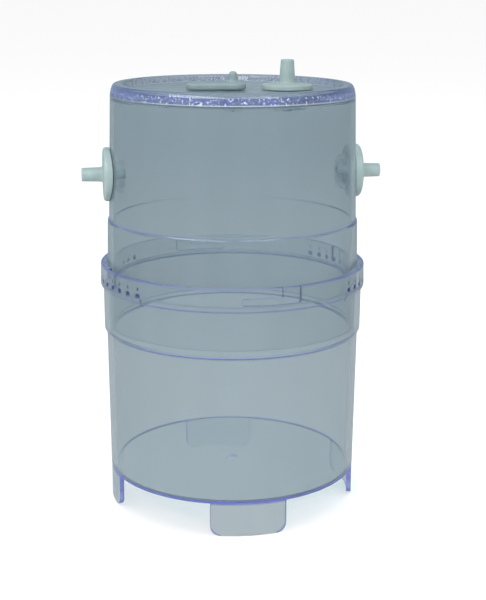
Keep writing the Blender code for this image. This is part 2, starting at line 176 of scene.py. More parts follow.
NEAR_GREY = (0.45, 0.50, 0.53)
FAR_GREY = (0.32, 0.385, 0.42)
FLOOR_SIZE = 80
SWEEP_START = 0.1
SWEEP_END = 1.2
bpy.ops.mesh.primitive_plane_add(size=FLOOR_SIZE)
floor = bpy.context.object
floor.name = "studio_floor"
f = Finish("floor_paint")
paint = f.add("BsdfPrincipled", None, {
    "Base Color": (0.95, 0.95, 0.95, 1), "Roughness": 0.8, "Specular IOR Level": 0.0})
away = f.add("VectorMath", {"operation": "LENGTH"}, {0: f.add("TexCoord").outputs["Object"]})
sweep = f.add("MapRange", None, {
    "Value": away.outputs["Value"], "From Min": SWEEP_START, "From Max": SWEEP_END})
shade = f.add("Mix", {"data_type": "RGBA"}, {
    "Factor": sweep.outputs[0], 6: (*NEAR_GREY, 1), 7: (*FAR_GREY, 1)})
grey = f.add("Emission", None, {"Color": shade.outputs[2]})
floor.data.materials.append(f.show(backdrop(f, paint, grey)))

f = Finish("bright_room", bpy.data.worlds)
white = f.add("Background", None, {"Color": (1, 1, 1, 1)})
grey = f.add("Background", None, {"Color": (*FAR_GREY, 1)})
bpy.context.scene.world = f.show(backdrop(f, white, grey), "OutputWorld")

CANISTER_MIDDLE = Vector((0, 0, 100 * MM))
BOUNCES = 24
CLEAR_BOUNCES = 32
FIREFLY_LIMIT = 2.0


def softbox(name, place, width, height, watts):
    """A wide area light that faces the middle of the canister."""
    bpy.ops.object.light_add(type="AREA", location=place)
    lamp = bpy.context.object
    lamp.name = name
    lamp.data.shape = "RECTANGLE"
    lamp.data.size = width
    lamp.data.size_y = height
    lamp.data.energy = watts
    lamp.rotation_euler = (CANISTER_MIDDLE - Vector(place)).to_track_quat("-Z", "Y").to_euler()


softbox("key_softbox", (-0.85, -0.85, 1.2), width=1.5, height=0.3, watts=13)
softbox("front_softbox", (0.45, -1.15, 1.2), width=0.9, height=0.3, watts=4)
bpy.context.scene.view_settings.view_transform = "Standard"
bpy.context.scene.cycles.max_bounces = BOUNCES
bpy.context.scene.cycles.transmission_bounces = BOUNCES
bpy.context.scene.cycles.transparent_max_bounces = CLEAR_BOUNCES
bpy.context.scene.cycles.sample_clamp_indirect = FIREFLY_LIMIT

# ---------------------------------------------------------------------------
# Lower vessel: injection-moulded clear plastic, with a blue-violet glow painted along its thick
# edges, standing in for light bent there. A flat floor, four tab feet, a step for the seal, and a
# collar with bayonet channels and grip marks.
# ---------------------------------------------------------------------------
COLUMNS = 288
FOOT_TOP = 14.6
VESSEL_FLOOR = 15.8
LEDGE = 79.7
SOCKET_STEP = 101.5
COLLAR_LOW = 99.9
COLLAR_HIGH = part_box("lower_vessel")[1].z / MM
COLLAR_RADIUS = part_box("lower_vessel")[1].x / MM
COLLAR_BORE = 56.25
BASE_RADIUS = 55.9
BASE_BORE = 53.3
LEDGE_RADIUS = 56.7
LEDGE_BORE = 54.1
SOCKET_RADIUS = 57.8
SOCKET_BORE = 55.5
GATE_RADIUS = 2.6
GATE_EDGE = 1.6
QUARTERS = (-90, 0, 90, 180)


def fresh():
    """Deselect everything, so that an operator acts only on what comes next."""
    bpy.ops.object.select_all(action="DESELECT")


MOST_EASE = 0.45


def eased(outline, steps=3):
    """Round each (radius, height, ease) corner of an outline by its own ease."""
    points = []
    for i, (r, z, ease) in enumerate(outline):
        here = Vector((r, z))
        if ease == 0 or i in (0, len(outline) - 1):
            points.append(here)
            continue
        back = Vector(outline[i - 1][:2]) - here
        on = Vector(outline[i + 1][:2]) - here
        start = here + back.normalized() * min(ease, back.length * MOST_EASE)
        end = here + on.normalized() * min(ease, on.length * MOST_EASE)
        for k in range(steps + 1):
            t = k / steps
            points.append(start * (1 - t) ** 2 + here * 2 * t * (1 - t) + end * t ** 2)
    return points


def turned(name, outline, columns=COLUMNS, ring=False):
    """Draw a ring of points along an outline of (radius, height, ease) in millimetres.
    A ring closes on its own start, and any other shape is capped at both ends."""
    points = [p * MM for p in eased(outline)]
    fresh()
    bpy.ops.mesh.primitive_circle_add(vertices=columns, radius=points[0].x, location=(0, 0, 0))
    obj = bpy.context.object
    obj.name = name
    bpy.ops.object.mode_set(mode="EDIT")
    bpy.ops.mesh.select_all(action="SELECT")
    bpy.ops.transform.translate(value=(0, 0, points[0].y))
    for here, there in zip(points, points[1:]):
        bpy.ops.mesh.extrude_edges_move(TRANSFORM_OT_translate={"value": (0, 0, there.y - here.y)})
        grow = there.x / here.x
        bpy.ops.transform.resize(value=(grow, grow, 1), center_override=(0, 0, there.y))
    bpy.ops.mesh.select_all(action="DESELECT")
    bpy.ops.mesh.select_non_manifold(extend=False, use_wire=False, use_boundary=True,
                                     use_multi_face=False, use_non_contiguous=False, use_verts=False)
    if ring:
        bpy.ops.mesh.bridge_edge_loops()
    else:
        bpy.ops.mesh.edge_face_add()
    bpy.ops.mesh.select_all(action="SELECT")
    bpy.ops.mesh.normals_make_consistent(inside=False)
    bpy.ops.object.mode_set(mode="OBJECT")
    return obj


def sector(name, inner, outer, low, high, facing, half_angle, steps=8, corner=0.0, round_top=True):
    """A block bent round the axis between two radii and two heights, in millimetres and
    degrees. Its upright end corners can be rounded, both or only the lower ones."""
    start = radians(facing - half_angle)
    middle = (inner + outer) / 2
    fresh()
    bpy.ops.mesh.primitive_plane_add(size=1, location=(middle * MM, 0, (low + high) / 2 * MM),
                                     rotation=(pi / 2, 0, 0))
    obj = bpy.context.object
    obj.name = name
    obj.scale = ((outer - inner) * MM, (high - low) * MM, 1)
    bpy.ops.object.transform_apply(location=True, rotation=True, scale=True)
    obj.rotation_euler = (0, 0, start)
    bpy.ops.object.transform_apply(location=True, rotation=True, scale=True)
    bpy.ops.object.mode_set(mode="EDIT")
    bpy.ops.mesh.select_all(action="SELECT")
    bpy.ops.mesh.spin(steps=steps, angle=-radians(2 * half_angle), center=(0, 0, 0), axis=(0, 0, 1))
    bpy.ops.mesh.select_all(action="SELECT")
    bpy.ops.mesh.remove_doubles(threshold=1e-6)
    bpy.ops.mesh.normals_make_consistent(inside=False)
    if corner:
        shape = bmesh.from_edit_mesh(obj.data)
        ends = (radians(facing - half_angle), radians(facing + half_angle))
        chosen = []
        for edge in shape.edges:
            a, b = edge.verts
            across = abs((a.co - b.co).z) < 1e-6 and abs(hypot(*a.co.xy) - hypot(*b.co.xy)) > 1e-4
            at_end = any(abs(sin((atan2(a.co.y, a.co.x) - end) / 2)) < 1e-4 for end in ends)
            lower = a.co.z < (low + high) / 2 * MM
            if across and at_end and (round_top or lower):
                chosen.append(edge)
        for part in (*shape.faces, *shape.edges, *shape.verts):
            part.select_set(False)
        for edge in chosen:
            edge.select_set(True)
        bmesh.update_edit_mesh(obj.data)
        bpy.ops.mesh.bevel(offset=corner * MM, segments=5, affect="EDGES", clamp_overlap=True)
    bpy.ops.object.mode_set(mode="OBJECT")
    return obj


def joined(pieces):
    """Make one tool of several separate shapes."""
    fresh()
    for piece in pieces:
        piece.select_set(True)
    bpy.context.view_layer.objects.active = pieces[0]
    if len(pieces) > 1:
        bpy.ops.object.join()
    return pieces[0]


def carve(target, tool, operation="DIFFERENCE", solver="EXACT"):
    """Cut a shape with a tool, or weld it on, and throw the tool away."""
    fresh()
    bpy.context.view_layer.objects.active = target
    target.select_set(True)
    step = target.modifiers.new("carve", "BOOLEAN")
    step.operation = operation
    step.solver = solver
    step.object = tool
    bpy.ops.object.modifier_apply(modifier=step.name)
    bpy.data.objects.remove(tool)


LEVEL_FACE = 0.999
LEAST_OUTWARD = 0.25
ROUND_WALL = 0.9985
STEEPEST = 0.97


def polished(obj, angle=28, long_face=3.0):
    """Shade a turned piece smooth. Its tall and flat faces keep their own slope and its round
    walls get truly round normals, so that light isn't bent where the wall is even."""
    fresh()
    bpy.context.view_layer.objects.active = obj
    obj.select_set(True)
    bpy.ops.object.shade_smooth_by_angle(angle=radians(angle))
    mesh = obj.data
    normals = [n.vector.copy() for n in mesh.corner_normals]
    for face in mesh.polygons:
        corners = [mesh.vertices[v].co for v in face.vertices]
        if abs(face.normal.z) > LEVEL_FACE:
            away = [hypot(c.x, c.y) for c in corners]
            if max(away) - min(away) > long_face / 2 * MM:
                for corner in face.loop_indices:
                    normals[corner] = Vector((0, 0, 1 if face.normal.z > 0 else -1))
            continue
        spot = Vector(face.center.xy)
        flat = Vector(face.normal.xy)
        if flat.length < LEAST_OUTWARD or spot.length < 1e-4:
            continue
        way = flat.normalized().dot(spot.normalized())
        if abs(way) < ROUND_WALL:
            continue
        tall = max(c.z for c in corners) - min(c.z for c in corners) > long_face * MM
        for corner, place in zip(face.loop_indices, corners):
            out = Vector(place.xy).normalized()
            if way < 0:
                out.negate()
            height = face.normal.z if tall else max(-STEEPEST, min(STEEPEST, normals[corner].z))
            level = sqrt(1 - height * height)
            normals[corner] = Vector((out.x * level, out.y * level, height))
    mesh.normals_split_custom_set(normals)
    return obj


vessel = turned("vessel_shell", [
    (GATE_EDGE, FOOT_TOP + 0.5, 0), (GATE_RADIUS, FOOT_TOP, 0.2), (BASE_RADIUS, FOOT_TOP, 0.6),
    (LEDGE_RADIUS, LEDGE - 0.9, 0.4), (SOCKET_RADIUS, LEDGE + 0.5, 0.4),
    (SOCKET_RADIUS + 0.1, COLLAR_LOW - 0.3, 0.2),
    (COLLAR_RADIUS, COLLAR_LOW, 0.5), (COLLAR_RADIUS - 0.2, COLLAR_HIGH, 0.5),
    (COLLAR_BORE, COLLAR_HIGH, 0.4), (COLLAR_BORE, SOCKET_STEP, 0.2),
    (SOCKET_BORE, SOCKET_STEP, 0.3), (SOCKET_BORE, LEDGE, 0.2), (LEDGE_BORE, LEDGE, 0.4),
    (BASE_BORE, VESSEL_FLOOR, 0.5), (GATE_EDGE, VESSEL_FLOOR, 0)])

# Bayonet channels, from the collar's mouth down a slot and back along the collar
ENTRY_FACING = 17.7
ENTRY_HALF = 4.18
CHANNEL_LOW = 102.3
CHANNEL_HIGH = 105.3
CHANNEL_DEPTH = 57.6
CHANNEL_END = -3.7
CHANNEL_START = 55.3
SLOT_CORNER = 1.2
RUN_CORNER = 1.1
run_end = ENTRY_FACING + 0.5
run_middle = (CHANNEL_END + run_end) / 2
entries = [sector("entry", CHANNEL_START, CHANNEL_DEPTH, CHANNEL_LOW, COLLAR_HIGH + 1,
                  q + ENTRY_FACING, ENTRY_HALF, 4, SLOT_CORNER, round_top=False) for q in QUARTERS]
runs = [sector("run", CHANNEL_START, CHANNEL_DEPTH, CHANNEL_LOW, CHANNEL_HIGH, q + run_middle,
               (run_end - CHANNEL_END) / 2, 8, RUN_CORNER) for q in QUARTERS]
carve(vessel, joined(entries), solver="MANIFOLD")
carve(vessel, joined(runs), solver="MANIFOLD")

# Four tab feet, welded under the wall
FOOT_INSIDE = 53.7
FOOT_OUTSIDE = 55.82
FOOT_ROOT = 3
FOOT_HALF_ANGLE = 17.3
FOOT_CORNER = 4.4
feet = [sector("foot", FOOT_INSIDE, FOOT_OUTSIDE, 0, FOOT_TOP + FOOT_ROOT, q, FOOT_HALF_ANGLE, 6,
               FOOT_CORNER, round_top=False) for q in QUARTERS]
carve(vessel, joined(feet), "UNION", "MANIFOLD")

# Grip marks on the collar's two sides: a thumb dimple with a short groove above it
GRIPS = 14
GRIP_PITCH = 6.15
DIMPLE_SIZE = (3.0, 2.4, 2.0)
DIMPLE_HEIGHT = 103.2
GROOVE_SIZE = (1.1, 2.0, 1.2)
GROOVE_HEIGHT = 106.2


def pip(name, width, height, depth, radius, at, facing, faces=12):
    """An egg-shaped tool of a width, height and depth, at a radius, a height and a direction."""
    fresh()
    angle = radians(facing)
    bpy.ops.mesh.primitive_uv_sphere_add(segments=faces, ring_count=8, radius=0.5 * MM, location=(
        radius * MM * cos(angle), radius * MM * sin(angle), at * MM), rotation=(0, 0, angle))
    tool = bpy.context.object
    tool.name = name
    tool.scale = (depth, width, height)
    bpy.ops.object.transform_apply(location=True, rotation=True, scale=True)
    return tool


marks = []
for side in (0, 180):
    for i in range(GRIPS):
        facing = side + (i - (GRIPS - 1) / 2) * GRIP_PITCH
        marks.append(pip("thumb_dimple", *DIMPLE_SIZE, COLLAR_RADIUS + 0.2, DIMPLE_HEIGHT, facing))
        marks.append(pip("grip_groove", *GROOVE_SIZE, COLLAR_RADIUS + 0.1, GROOVE_HEIGHT, facing))
carve(vessel, joined(marks), solver="MANIFOLD")

# Fine mould lines: one down the middle of each foot, and one across the collar's lower edge
# at each end of a grip zone
GRIP_STOP = 41.5
STOP_HALF_WIDTH = 0.25
STOP_INSIDE = CHANNEL_DEPTH + 0.05
FOOT_LINE_SIZE = (0.5, 12.0, 0.5)
FOOT_LINE_HEIGHT = 8.2
lines = [pip("foot_line", *FOOT_LINE_SIZE, BASE_RADIUS, FOOT_LINE_HEIGHT, q) for q in QUARTERS]
lines += [sector("grip_stop", STOP_INSIDE, COLLAR_RADIUS + 1, COLLAR_LOW - 1.6, COLLAR_LOW + 2.2,
                 side + way * GRIP_STOP, STOP_HALF_WIDTH, 1) for side in (0, 180) for way in (-1, 1)]
carve(vessel, joined(lines), solver="MANIFOLD")
polished(vessel)
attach(vessel, "vessel")
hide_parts("lower_vessel")


# Painted colours: the blue-violet of the painted edge glow, and the white of painted glints and
# highlights.
PAINTED_EDGE_GLOW = (0.10, 0.12, 0.50)
PAINTED_GLINT_WHITE = (0.9, 0.91, 1.0)
SHADOW_TINT = (0.87, 0.9, 0.91)
EDGE_ON_MILK = 0.4
STREAK_MILK = 0.1
STREAK_STRETCH = (90, 90, 4)
RIPPLE_SCALE = 45.0
SPARKLE_SCALE = 260.0
GLOW_PATCH_SCALE = 480.0
PAINTED_GLINT_SCALE = 1000.0


def line_at(value, centre, half_width):
    """1 on a line, fading to 0 at half_width away from it."""
    return (1 - abs(value - centre) / half_width).at_least(0.0)


def clear_plastic(name, tint, haze, milkiness, bend=1.5, edges=(), painted_glint_band=(), painted_highlight=()):
    """Tinted clear plastic that bends light. A little milkiness in the wall deepens where the
    wall is seen edge-on. Along moulded edges (height, half height, least radius, strength, front
    share) a blue-violet glow is painted in, standing in for light bent in the thick plastic: it
    has its front share of the strength at the front and full strength at the sides. A band
    (height, half height, least radius) is painted with patches of that violet and pale painted
    glints, and a ridge (height, half height, strength) gets a painted highlight line."""
    f = Finish(name)
    spot, x, y, z, r = f.place()
    ripple = f.add("TexNoise", None, {"Vector": spot, "Scale": RIPPLE_SCALE, "Detail": 2.0})
    sparkle = f.add("TexNoise", None, {"Vector": spot, "Scale": SPARKLE_SCALE, "Detail": 4.0})
    bump = f.add("Bump", None, {"Strength": 0.04, "Distance": 0.0004,
                                "Height": f.number(ripple.outputs[0])})
    upright = f.add("VectorMath", {"operation": "MULTIPLY"}, {0: spot, 1: STREAK_STRETCH})
    streaks = f.add("TexNoise", None, {"Vector": upright.outputs[0], "Scale": 1.0, "Detail": 3.0})
    edge_on = f.number(f.add("LayerWeight", None, {"Blend": 0.5}).outputs["Facing"])
    share = milkiness + edge_on ** 4.0 * EDGE_ON_MILK + (
        f.number(streaks.outputs[0]) - 0.5) * STREAK_MILK
    glass = f.add("BsdfPrincipled", None, {
        "Base Color": (*tint, 1), "Roughness": 0.015, "IOR": bend, "Transmission Weight": 1.0})
    tone = f.add("Mix", {"data_type": "RGBA"}, {
        "Factor": f.number(ripple.outputs[0]), 6: (*haze, 1), 7: (*(c * 1.12 for c in haze), 1)})
    milk = f.add("BsdfPrincipled", None, {
        "Base Color": tone.outputs[2], "Roughness": 0.3, "IOR": 1.5, "Specular IOR Level": 0.2,
        "Normal": bump.outputs[0]})
    surface = f.add("MixShader", None, {"Fac": share.at_least(0.0).at_most(0.97),
                                        1: glass.outputs[0], 2: milk.outputs[0]})
    violet = f.add("BsdfPrincipled", None, {
        "Base Color": (*PAINTED_EDGE_GLOW, 1), "Roughness": 0.15, "Normal": bump.outputs[0]})
    # Painted edge glow: blue-violet mixed in along moulded edges, standing in for light bent in the
    # thick plastic, with more of it towards the sides than at the front.
    if edges:
        glow = 0.0
        for height, half_height, least_radius, strength, front in edges:
            outside = ((r - least_radius) * 4.0).clamped()
            near = line_at(z, height, half_height) * outside
            glow = near * (front + (x / r) ** 2.0 * (1 - front)) * strength + glow
        surface = f.add("MixShader", None, {
            "Fac": (glow * (0.6 + f.number(sparkle.outputs[0]) * 0.8)).at_most(0.96),
            1: surface.outputs[0], 2: violet.outputs[0]})
    # A pale shader for painted glints and painted highlights.
    pale = f.add("BsdfPrincipled", None, {"Base Color": (*PAINTED_GLINT_WHITE, 1), "Roughness": 0.2})
    # A painted sparkle band: patches of the painted violet edge glow and pale painted glints, the
    # glints strongest at the front and fewer towards the sides.
    if painted_glint_band:
        height, half_height, least_radius = painted_glint_band
        glow_patches = f.add("TexNoise", None, {"Vector": spot, "Scale": GLOW_PATCH_SCALE, "Detail": 3.0})
        painted_glint = f.add("TexNoise", None, {"Vector": spot, "Scale": PAINTED_GLINT_SCALE, "Detail": 2.0})
        band = (line_at(z, height, half_height) * 2.0).at_most(1.0) * (
            (r - least_radius) * 4.0).clamped()
        dark = ((f.number(glow_patches.outputs[0]) - 0.48) * 5.0).clamped()
        surface = f.add("MixShader", None, {"Fac": band * (0.2 + dark * 0.42),
                                            1: surface.outputs[0], 2: violet.outputs[0]})
        light = ((f.number(painted_glint.outputs[0]) - 0.56) * 8.0).clamped()
        surface = f.add("MixShader", None, {"Fac": band * light * (0.6 - (x / r) ** 2.0 * 0.5),
                                            1: surface.outputs[0], 2: pale.outputs[0]})
    # A painted highlight line along a ridge, strongest at the front and fading towards the sides.
    if painted_highlight:
        height, half_height, strength = painted_highlight
        surface = f.add("MixShader", None, {
            "Fac": line_at(z, height, half_height) * (1 - (x / r) ** 2.0) * strength,
            1: surface.outputs[0], 2: pale.outputs[0]})
    rays = f.add("LightPath")
    lamp_tint = f.add("BsdfTransparent", None, {"Color": (*SHADOW_TINT, 1)})
    out = f.add("MixShader", None, {"Fac": rays.outputs["Is Shadow Ray"],
                                    1: surface.outputs[0], 2: lamp_tint.outputs[0]})
    return f.show(out.outputs[0])


def painted(obj, *finishes):
    """Give a piece its finishes, in the order of its faces' numbers."""
    obj.data.materials.clear()
    for finish in finishes:
        obj.data.materials.append(finish)


BEND = 1.35
# The vessel's finish paints its blue-violet edge glow at the base edge over the feet, at the ledge,
# and at the collar's lower and upper edges.
vessel_plastic = clear_plastic(
    "vessel_plastic", (0.945, 0.967, 0.977), (0.33, 0.415, 0.455), 0.12, BEND,
    [(FOOT_TOP + 0.4, 1.2, 54.8, 1.0, 1.0), (LEDGE, 0.55, 56.2, 0.95, 0.95),
     (COLLAR_LOW + 0.1, 0.6, 57.7, 0.65, 0.9), (COLLAR_HIGH - 0.2, 0.7, 57.0, 0.5, 0.5)])
# Painted shade and glow: a dark blue finish painted on the upright walls of the bayonet channels and
# grip marks, and a violet one painted on their level faces and on the feet's sides, standing in for
# light bent at those edges.
slot_painted_shade = clear_plastic("slot_painted_shade", (0.4, 0.45, 0.7), (0.04, 0.05, 0.17), 0.85)
foot_painted_glow = clear_plastic("foot_painted_glow", (0.7, 0.73, 0.9), (0.17, 0.19, 0.55), 0.55)
gate_mark = clear_plastic("gate_mark", (0.9, 0.92, 0.97), (0.55, 0.60, 0.85), 0.7)
painted(vessel, vessel_plastic, slot_painted_shade, foot_painted_glow, gate_mark)
CLEAR, PAINTED_SHADE_EDGE, PAINTED_GLOW_EDGE, GATE = range(4)
SMALL_FACE = 2 * MM * MM
for face in vessel.data.polygons:
    x, y, z = face.center / MM
    away = hypot(x, y)
    out = face.normal.x * x / away + face.normal.y * y / away if away > 0.01 else 0
    level = abs(face.normal.z)
    in_channel = COLLAR_BORE + 0.1 < away < CHANNEL_DEPTH - 0.05 and abs(out) < 0.5
    in_grip = CHANNEL_DEPTH + 0.1 < away < COLLAR_RADIUS - 0.3 and face.area < SMALL_FACE
    face.material_index = CLEAR
    # Upright channel and grip faces take the painted dark shade and level ones the painted violet
    # glow; below, the feet's sides take the painted violet glow.
    if (in_channel or in_grip) and CHANNEL_LOW - 1.5 < z < COLLAR_HIGH - 0.5:
        face.material_index = PAINTED_GLOW_EDGE if level > 0.7 else PAINTED_SHADE_EDGE
    elif z < FOOT_TOP and abs(out) < 0.5 and away > BASE_BORE - 3.3 and level < 0.95:
        face.material_index = PAINTED_GLOW_EDGE
    elif away < GATE_RADIUS + 0.2 and z < VESSEL_FLOOR - 0.2:
        face.material_index = GATE

# ---------------------------------------------------------------------------
# Upper casing: the same clear plastic, its milky haze painted darker as painted shade on the
# upper part, moulded as a bell with a recessed flat top. Its spigot slides into the vessel and
# its four lugs run in the collar's channels.
# ---------------------------------------------------------------------------
CASING_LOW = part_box("upper_casing")[0].z / MM
RIM_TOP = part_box("upper_casing")[1].z / MM
RECESS = RIM_TOP - 2.95
PLATE_LOW = RECESS - 2.75
SHOULDER = RIM_TOP - 4.8
NOTCH_HIGH = RIM_TOP - 2.3
SKIRT_TOP = 129.3
WALL_FOOT = 54.9
WALL_TOP = 53.5
SKIRT_RADIUS = 55.9
SPIGOT_RADIUS = 55.2
SPIGOT_BORE = 53.4
PLATE_CENTRE = 3.6
PLATE_EDGE = 51.6
RECESS_RADIUS = 47.2
RIM_INSIDE = 47.9
RIM_OUTSIDE = 52.1
RIM_FOOT = 53.1
NIPPLE_AT = (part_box("hose_nipple_left")[0].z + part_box("hose_nipple_left")[1].z) / 2 / MM
TOP_NIPPLE_X = (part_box("hose_nipple_top")[0].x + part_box("hose_nipple_top")[1].x) / 2 / MM


def casing_radius(z):
    """The drafted wall's outer radius at a height."""
    return WALL_FOOT - (WALL_FOOT - WALL_TOP) * (z - SKIRT_TOP) / (SHOULDER - SKIRT_TOP)


casing = turned("casing_shell", [
    (PLATE_CENTRE, RECESS, 0), (RECESS_RADIUS, RECESS, 0.5), (RIM_INSIDE, RIM_TOP, 0.9),
    (RIM_OUTSIDE, RIM_TOP, 0.9), (RIM_FOOT, NOTCH_HIGH, 0.3),
    (WALL_TOP, SHOULDER, 0.25), (WALL_FOOT, SKIRT_TOP + 0.4, 0.4),
    (SKIRT_RADIUS - 0.4, SKIRT_TOP - 0.5, 0.5), (SKIRT_RADIUS, COLLAR_HIGH + 1, 2),
    (SKIRT_RADIUS, SOCKET_STEP + 0.3, 0.3), (SPIGOT_RADIUS, SOCKET_STEP + 0.3, 0.2),
    (SPIGOT_RADIUS, CASING_LOW, 0.7), (SPIGOT_BORE, CASING_LOW, 0.3),
    (SPIGOT_BORE - 0.1, SKIRT_TOP - 0.6, 1), (SPIGOT_BORE - 0.4, SKIRT_TOP + 0.4, 1),
    (PLATE_EDGE, PLATE_LOW, 1.8), (PLATE_CENTRE, PLATE_LOW, 0)])
LUG_ROOT = 54.6
LUG_RADIUS = 57.3
LUG_HALF_ANGLE = 3.5
LUG_CORNER = 0.5
lugs = [sector("lug", LUG_ROOT, LUG_RADIUS, CHANNEL_LOW + 0.3, CHANNEL_HIGH - 0.3, q,
               LUG_HALF_ANGLE, 4, LUG_CORNER) for q in QUARTERS]
carve(casing, joined(lugs), "UNION", "MANIFOLD")


DRILL_LENGTH = 14


def drill(radius, x, z, sideways):
    """A rod that drills a round hole through the wall or the top."""
    fresh()
    bpy.ops.mesh.primitive_cylinder_add(
        vertices=96, radius=radius * MM, depth=DRILL_LENGTH * MM, location=(x * MM, 0, z * MM),
        rotation=(0, pi / 2 if sideways else 0, 0))
    bpy.ops.object.transform_apply(location=True, rotation=True, scale=True)
    return bpy.context.object


HOLE = 6.0
carve(casing, drill(HOLE, casing_radius(NIPPLE_AT), NIPPLE_AT, True))
carve(casing, drill(HOLE, -casing_radius(NIPPLE_AT), NIPPLE_AT, True))
carve(casing, drill(HOLE, TOP_NIPPLE_X, RECESS, False))

# A fine, uneven row of scallops runs round the rim just above the shoulder
SCALLOPS = 80
SCALLOP_WIDTH = 2.9
SCALLOP_TALL = 2.1
SCALLOP_DEPTH = 0.8
SCALLOP_HEIGHT = (NOTCH_HIGH + SHOULDER) / 2
notches = []
for i in range(SCALLOPS):
    unevenness = sin(i * 12.9898) * 0.5
    notches.append(pip("rim_scallop", SCALLOP_WIDTH + unevenness, SCALLOP_TALL + unevenness * 0.6,
                       SCALLOP_DEPTH, WALL_TOP, SCALLOP_HEIGHT + sin(i * 7.31) * 0.15,
                       (i + unevenness * 0.3) * 360 / SCALLOPS))
carve(casing, joined(notches), solver="MANIFOLD")
polished(casing)
# The casing's finish: its haze painted darker than the vessel's as painted shade, the painted
# blue-violet edge glow at the rim top and the skirt step, a painted sparkle band of violet patches and
# glints over the scallops, and a painted highlight line on the shoulder.
casing_plastic = clear_plastic(
    "casing_plastic", (0.935, 0.96, 0.973), (0.225, 0.305, 0.35), 0.12, BEND,
    [(RIM_TOP - 1.0, 2.0, 50.5, 0.35, 0.15), (SKIRT_TOP, 0.6, 54.0, 0.5, 0.2)],
    (SCALLOP_HEIGHT + 0.2, 2.0, 52.2), (SHOULDER, 0.3, 0.45))
painted(casing, casing_plastic)
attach(casing, "casing")
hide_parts("upper_casing")

# ---------------------------------------------------------------------------
# Body seal: a silicone ring on the vessel's ledge, squeezed by the end of the casing's
# spigot when the lugs are turned home.
# ---------------------------------------------------------------------------
SEAL_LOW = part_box("body_seal")[0].z / MM
SEAL_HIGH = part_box("body_seal")[1].z / MM
SEAL_INSIDE = 53.9
SEAL_OUTSIDE = 55.2
body_seal = turned("body_ring", [
    (SEAL_INSIDE, SEAL_LOW + 0.4, 0.3), (SEAL_INSIDE + 0.3, SEAL_LOW, 0.2),
    (SEAL_OUTSIDE, SEAL_LOW, 0.4), (SEAL_OUTSIDE, SEAL_LOW + 0.8, 0.3),
    (SEAL_OUTSIDE - 0.3, (SEAL_LOW + SEAL_HIGH) / 2, 0.3), (SEAL_OUTSIDE, SEAL_HIGH - 0.8, 0.3),
    (SEAL_OUTSIDE, SEAL_HIGH, 0.4), (SEAL_INSIDE + 0.3, SEAL_HIGH, 0.4),
    (SEAL_INSIDE, SEAL_HIGH - 0.4, 0.3)], 192, ring=True)
polished(body_seal, 40)
silicone = clear_plastic("seal_silicone", (0.96, 0.975, 0.98), (0.34, 0.42, 0.46), 0.02, 1.03)
painted(body_seal, silicone)
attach(body_seal, "vessel")
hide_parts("body_seal")

# ---------------------------------------------------------------------------
# Hose nipples: milky moulded fittings. Each has a round-edged flange, a tapered tube for
# 4/6 mm hose, and a ribbed shank that goes through the casing and takes a lock nut.
# ---------------------------------------------------------------------------
BORE = 1.9
SHANK = 5.7
POCKET = 8.7
NUT_THICK = 3.0
THREAD_PITCH = 1.0
FLANGE_EDGE = 1.5
WASHER_ROOM = 1.2
NUT_FLATS = 15.0
NUT_FACE = -3.15
WALL_DEPTH = 1.5
SIDE_SIZES = {"flange": 11.8, "crown": 2.8, "root": 3.15, "tip": 2.95, "length": 12.1,
              "underside": -2.0}
TOP_SIZES = {"flange": 11.2, "crown": 2.6, "root": 3.5, "tip": 2.85, "length": 13.0,
             "underside": 0.3}


def stand(obj, x, z, lean):
    """Put a fitting drawn along +Z in its place: lean -1 or 1 lays it to the left or right."""
    obj.location = (x * MM, 0, z * MM)
    obj.rotation_euler = (0, lean * pi / 2, 0)
    fresh()
    bpy.context.view_layer.objects.active = obj
    obj.select_set(True)
    bpy.ops.object.transform_apply(location=True, rotation=True, scale=True)
    return obj


def smoothed(obj, angle=35):
    """Shade a fitting smooth, with its corners left crisp."""
    fresh()
    bpy.context.view_layer.objects.active = obj
    obj.select_set(True)
    bpy.ops.object.shade_smooth_by_angle(angle=radians(angle))
    return obj


def ribbed(radius, depth, low, high):
    """The outline of a thread between two heights, drawn as rings, from low to high."""
    points = []
    z = low
    while z + THREAD_PITCH < high:
        points += [(radius - depth, z, 0), (radius, z + THREAD_PITCH * 0.4, 0),
                   (radius, z + THREAD_PITCH * 0.6, 0)]
        z += THREAD_PITCH
    return points


def nipple(name, shank_end, thread_top, flange, crown, root, tip, length, underside):
    """A hose nipple along +Z, with its flange's face at the height crown."""
    return turned(name, [
        (BORE, shank_end, 0), (SHANK - 0.6, shank_end, 0),
        *ribbed(SHANK, 0.4, shank_end + 0.3, thread_top), (SHANK, thread_top, 0),
        (SHANK, WASHER_ROOM, 0), (POCKET, WASHER_ROOM, 0), (POCKET, underside, 0),
        (flange, underside, 0.2),
        (flange, crown - 0.1, FLANGE_EDGE), (root + 2.2, crown, 0.4), (root + 0.2, crown + 0.3, 0.5),
        (root, crown + 1.2, 0.6), (tip, length, 0.5), (BORE, length, 0.35), (BORE, length - 1, 0)],
        64, ring=True)


